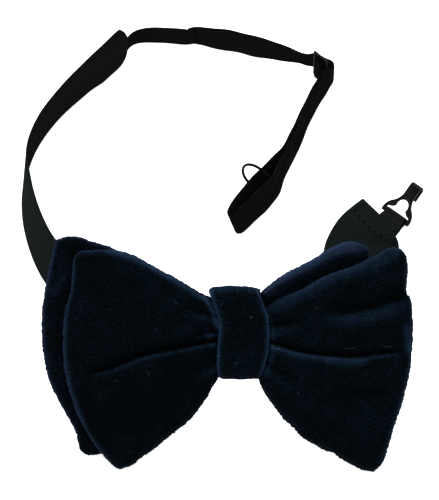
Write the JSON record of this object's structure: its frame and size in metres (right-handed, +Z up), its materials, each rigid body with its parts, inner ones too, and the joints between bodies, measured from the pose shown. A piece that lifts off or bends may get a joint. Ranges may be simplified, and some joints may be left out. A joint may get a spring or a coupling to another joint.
{
  "type": "bow tie",
  "caption": "Ready-tied velvet bow tie laid on a table, its hooked and adjustable neck strap standing in a wide loop behind the bow.",
  "frame": {"origin": "on the table, under the middle of the whole bow tie as it is laid down", "axes": "+X along the bow towards its right wing, +Y from the bow towards the far end of the strap, +Z up from the table"},
  "size_m": [0.1484, 0.2059, 0.0506],
  "materials": {
    "velvet": "deep navy velvet",
    "velvet_knot": "deep navy velvet",
    "twill": "black satin twill",
    "tape": "black grosgrain tape",
    "enamel": "black enamel"
  },
  "bodies": {
    "root": {"bow_back": "velvet", "bow_front": "velvet", "knot": "velvet_knot", "neckband": "twill", "band_tape": "tape", "adjuster_tape": "tape", "slide": "enamel", "eye_ring": "enamel", "hook": "enamel", "hook_tab": "tape"}
  },
  "joints": []
}
